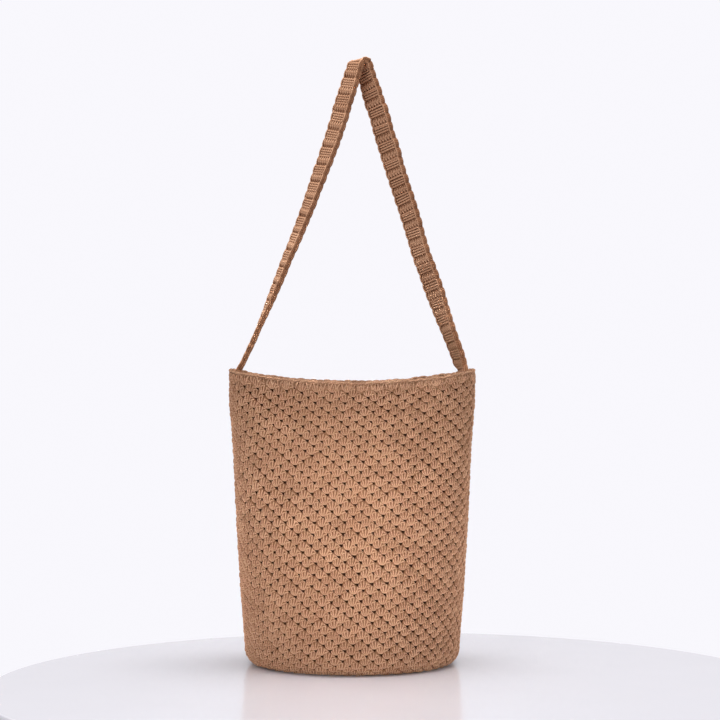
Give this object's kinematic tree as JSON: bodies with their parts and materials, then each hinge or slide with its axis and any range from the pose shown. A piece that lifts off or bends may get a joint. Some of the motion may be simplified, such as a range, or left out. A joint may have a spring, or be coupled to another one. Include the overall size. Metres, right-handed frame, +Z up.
{
  "type": "crochet tote bag",
  "caption": "Open bucket-shaped crochet tote bag with a round base, a boxy sagging mouth and one long crocheted shoulder strap folded upright over the mouth.",
  "frame": {"origin": "centre of the bag's footprint on the surface that it stands on", "axes": "+Z up, X from one sewn strap end to the other, -Y towards the side that faces the viewer"},
  "size_m": [0.2446, 0.206, 0.6059],
  "materials": {
    "base_yarn": "matte crocheted cotton cord",
    "wall_yarn": "matte crocheted cotton cord",
    "edging_yarn": "matte crocheted cotton cord",
    "strap_yarn": "matte crocheted cotton cord"
  },
  "bodies": {
    "root": {"bag_base": "base_yarn", "bag_wall": "wall_yarn", "rim_edging": "edging_yarn", "strap": "strap_yarn"}
  },
  "joints": []
}
